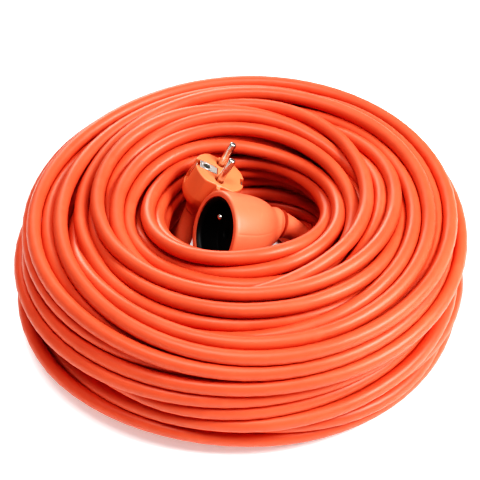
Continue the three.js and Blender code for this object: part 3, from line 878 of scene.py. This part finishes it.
def spread(material, value, low, high, start=0.3, end=0.7):
    """A value between start and end, stretched to run from low to high."""
    values = {"Value": value, "From Min": start, "From Max": end, "To Min": low, "To Max": high}
    return node(material, "ShaderNodeMapRange", values).outputs[0]


def mixed(material, factor, first, second):
    """Two colours mixed. The node's sockets 6 and 7 are its colour inputs and 2 its colour output."""
    return node(material, "ShaderNodeMix", {0: factor, 6: first, 7: second}, data_type="RGBA").outputs[2]


def math_node(material, operation, a, b=0.0):
    return node(material, "ShaderNodeMath", {0: a, 1: b}, operation=operation).outputs[0]


def bump_of(material, height, distance, strength=1.0, below=None):
    values = {"Height": height, "Distance": distance, "Strength": strength}
    if below is not None:
        values["Normal"] = below
    return node(material, "ShaderNodeBump", values).outputs[0]


def finished(material, colour, roughness, normal, **constants):
    """Links a material's textures to its shader. Constants are plain socket values."""
    shader = material.node_tree.nodes["Principled BSDF"]
    for socket, value in (("Base Color", colour), ("Roughness", roughness), ("Normal", normal)):
        material.node_tree.links.new(value, shader.inputs[socket])
    for socket, value in constants.items():
        shader.inputs[socket.replace("_", " ")].default_value = value
    return material


def new_material(name):
    material = bpy.data.materials.new(name)
    material.use_nodes = True
    return material


def shade(colour, by):
    return (*[channel * by for channel in colour], 1)


def cable_material():
    """PVC sheath: faint lines along it, the lay of its cores, uneven gloss and dull rubbed patches."""
    material = new_material("cable_sheath")
    where = coordinates(material)
    uv = node(material, "ShaderNodeUVMap", uv_map="cable").outputs[0]
    split = node(material, "ShaderNodeSeparateXYZ", {0: uv})
    around_it, along_it = split.outputs[0], split.outputs[1]
    lay = math_node(material, "ADD", math_node(material, "MULTIPLY", around_it, CORES),
                    math_node(material, "DIVIDE", along_it, LAY_LENGTH))
    ridges = math_node(material, "SINE", math_node(material, "MULTIPLY", lay, 2 * math.pi))
    drawn = node(material, "ShaderNodeMapping", {"Vector": uv, "Scale": (60, 2.5, 1)}).outputs[0]
    lines = noise(material, drawn, 1.0, 3)
    patches = noise(material, where, 26, 4, 0.6)
    grains = noise(material, where, 900, 2)
    tone = mixed(material, spread(material, patches, 0, 1, 0.35, 0.65),
                 shade(CABLE_COLOUR, 0.93), shade(CABLE_COLOUR, 1.04))
    rubbed = spread(material, noise(material, where, 60, 6, 0.7), 0, 0.25, 0.56, 0.72)
    colour = mixed(material, rubbed, tone, RUBBED_COLOUR)
    roughness = spread(material, patches, 0.36, 0.46)
    roughness = math_node(material, "ADD", roughness, math_node(material, "MULTIPLY", rubbed, 0.6))
    normal = bump_of(material, ridges, 0.00002)
    normal = bump_of(material, lines, 0.00005, 0.8, normal)
    normal = bump_of(material, grains, 0.00002, 0.5, normal)
    return finished(material, colour, roughness, normal, Specular_IOR_Level=0.32)


def moulded_material(name, colour, roughness, grain, contrast=0.05):
    """Moulded plastic: a fine eroded grain, slight flow marks and thin pale scratches."""
    material = new_material(name)
    where = coordinates(material)
    flow = noise(material, where, 45, 5, 0.6)
    grains = noise(material, where, 1700, 3)
    dark, light = shade(colour, 1 - contrast), shade(colour, 1 + contrast)
    tone = mixed(material, spread(material, flow, 0, 1), dark, light)
    scratches = node(material, "ShaderNodeMapping", {"Vector": where, "Scale": (900, 90, 200)}).outputs[0]
    marks = spread(material, noise(material, scratches, 1.0, 2), 0, 0.2, 0.68, 0.8)
    pale = tuple(min(1.0, channel * 1.3 + 0.01) for channel in colour)
    tone = mixed(material, marks, tone, (*pale, 1))
    rough = spread(material, flow, roughness - 0.06, roughness + 0.06)
    normal = bump_of(material, grains, grain * MM)
    normal = bump_of(material, flow, 0.0001, 0.5, normal)
    return finished(material, tone, rough, normal)


def metal_material(name, colour, roughness):
    """Drawn metal: fine lines along the piece and faint tarnish."""
    material = new_material(name)
    where = coordinates(material)
    lines = noise(material, coordinates(material, (4000, 4000, 120)), 1.0, 3)
    tarnish = noise(material, where, 160, 5, 0.65)
    tone = mixed(material, spread(material, tarnish, 0, 1), shade(colour, 0.82), shade(colour, 1.0))
    rough = math_node(material, "ADD", spread(material, tarnish, roughness - 0.05, roughness + 0.08),
                      spread(material, lines, 0, 0.06))
    normal = bump_of(material, lines, 0.000003)
    return finished(material, tone, rough, normal, Metallic=1.0)


def striped_material(name, first, second):
    """The earth core: two colours along it, three stripes to the turn."""
    material = new_material(name)
    where = coordinates(material)
    bands = node(material, "ShaderNodeTexWave", {"Vector": where, "Scale": 190, "Distortion": 0.3},
                 bands_direction="X").outputs[1]
    wear = noise(material, where, 300, 3)
    tone = mixed(material, spread(material, bands, 0, 1, 0.62, 0.66), (*first, 1), (*second, 1))
    tone = mixed(material, spread(material, wear, 0, 0.1), tone, (0.5, 0.5, 0.4, 1))
    normal = bump_of(material, noise(material, where, 1500, 2), 0.00002)
    return finished(material, tone, spread(material, wear, 0.38, 0.5), normal)


def floor_material():
    """White paper with a painted glow, so that it comes out white and the coil's shadows on it wash out.
    The glow is left out of the coil's hole, so that the hole keeps its shade.
    """
    material = moulded_material("floor", (0.9, 0.9, 0.9), 0.6, 0.01, 0.01)
    from_middle = node(material, "ShaderNodeVectorMath", {0: coordinates(material)}, operation="LENGTH")
    # Painted light: the floor glows fully from 0.17 m out from the middle and fades to none at 0.09 m, so
    # there is none under the inner turns or in the hole.
    painted_glow = spread(material, from_middle.outputs["Value"], 0.0, FLOOR_PAINTED_GLOW, 0.09, 0.17)
    shader = material.node_tree.nodes["Principled BSDF"]
    shader.inputs["Emission Color"].default_value = (1, 1, 1, 1)
    material.node_tree.links.new(painted_glow, shader.inputs["Emission Strength"])
    return material


LOOKS = {
    "cable_sheath": cable_material(),
    "housing": moulded_material("housing", HOUSING_COLOUR, 0.46, 0.03),
    "black_plastic": moulded_material("black_plastic", (0.002, 0.0015, 0.0015), 0.5, 0.02),
    "inner_plastic": moulded_material("inner_plastic", (0.62, 0.60, 0.52), 0.5, 0.02, 0.03),
    "nickel": metal_material("nickel", (0.70, 0.67, 0.62), 0.18),
    "brass": metal_material("brass", (0.72, 0.50, 0.20), 0.24),
    "spring_steel": metal_material("spring_steel", (0.56, 0.57, 0.58), 0.22),
    "core_brown": moulded_material("core_brown", (0.12, 0.045, 0.015), 0.42, 0.01),
    "core_blue": moulded_material("core_blue", (0.02, 0.10, 0.50), 0.42, 0.01),
    "core_earth": striped_material("core_earth", (0.55, 0.55, 0.02), (0.03, 0.26, 0.05)),
}


# ---------------------------------------------------------------- the object
make_camera()

make_plug_body(moulded_material("plug_housing", PLUG_COLOUR, 0.46, 0.03))
for wire_name, side in (("line", -1), ("neutral", 1)):
    x = side * PIN_OFFSET
    make_pin("plug_pin_" + wire_name, PLUG, x, 0, PIN_BACK, PIN_LENGTH, 1.5, LOOKS["nickel"])
plate_nickel = metal_material("plate_nickel", (0.86, 0.84, 0.80), 0.4)
make_earth_contact(plate_nickel)
make_clip("plug_earth_clip_upper", 1, "earth_clip_upper", LOOKS["nickel"])
make_clip("plug_earth_clip_lower", -1, "earth_clip_lower", LOOKS["nickel"])
bell = make_bell(LOOKS["housing"])
make_insert(LOOKS["black_plastic"])
make_pin("socket_earth_pin", SOCKET, 0, EARTH_OFFSET, -30, -2, 2.3, LOOKS["nickel"])
make_sleeve("plug_bend_taper", plug_end_route(0.0005), PLUG_NECK, LOOKS["housing"])
make_sleeve("socket_bend_taper", socket_end_route(0.0005), SOCKET_NECK, LOOKS["housing"])

path = cable_path()
cable = tube("cable", path, CABLE_DIAMETER / 2, CABLE_SIDES)
cable.data.materials.append(LOOKS["cable_sheath"])
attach(cable, "cord")
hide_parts("cable_coil", "plug_tail", "socket_tail", "plug_sheath_end", "socket_sheath_end")

# The CAD pieces that nothing stands in for keep their shape and get their own look.
for entry in frame["record"]["subparts"]:
    kept = frame["nodes"][entry["node"]]
    kept.data.materials.clear()
    kept.data.materials.append(LOOKS[entry["material_slot"]])

# ---------------------------------------------------------------- floor, world and lights
floor_mesh = bpy.data.meshes.new("floor")
floor_mesh.from_pydata([(-3, -3, 0), (3, -3, 0), (3, 3, 0), (-3, 3, 0)], [], [(0, 1, 2, 3)])
floor = bpy.data.objects.new("floor", floor_mesh)
floor.data.materials.append(floor_material())
bpy.context.collection.objects.link(floor)

world = bpy.data.worlds.new("studio")
world.use_nodes = True
world.node_tree.nodes["Background"].inputs["Color"].default_value = (1, 1, 1, 1)
world.node_tree.nodes["Background"].inputs["Strength"].default_value = 0.27
bpy.context.scene.world = world
# A little more contrast in the shadows than the plain view has.
view = bpy.context.scene.view_settings
view.view_transform = "Standard"
view.use_curve_mapping = True
contrast = view.curve_mapping.curves[3]
for light_in, light_out in ((0.05, 0.011), (0.18, 0.115), (0.5, 0.52)):
    contrast.points.new(light_in, light_out)
view.curve_mapping.update()


def soft_light(name, place, size, power):
    """A round softbox that points at the coil."""
    target = (0, 0, 0.05)
    data = bpy.data.lights.new(name, "AREA")
    data.shape = "DISK"
    data.size = size
    data.energy = power
    light = bpy.data.objects.new(name, data)
    light.location = place
    light.rotation_euler = (Vector(target) - Vector(place)).to_track_quat("-Z", "Y").to_euler()
    bpy.context.collection.objects.link(light)


soft_light("back_softbox", (-0.42, 1.84, 0.85), 0.9, 22)
soft_light("right_softbox", (1.15, -0.35, 1.2), 0.7, 39)
soft_light("top_softbox", (-0.2, -0.3, 1.6), 0.7, 17)
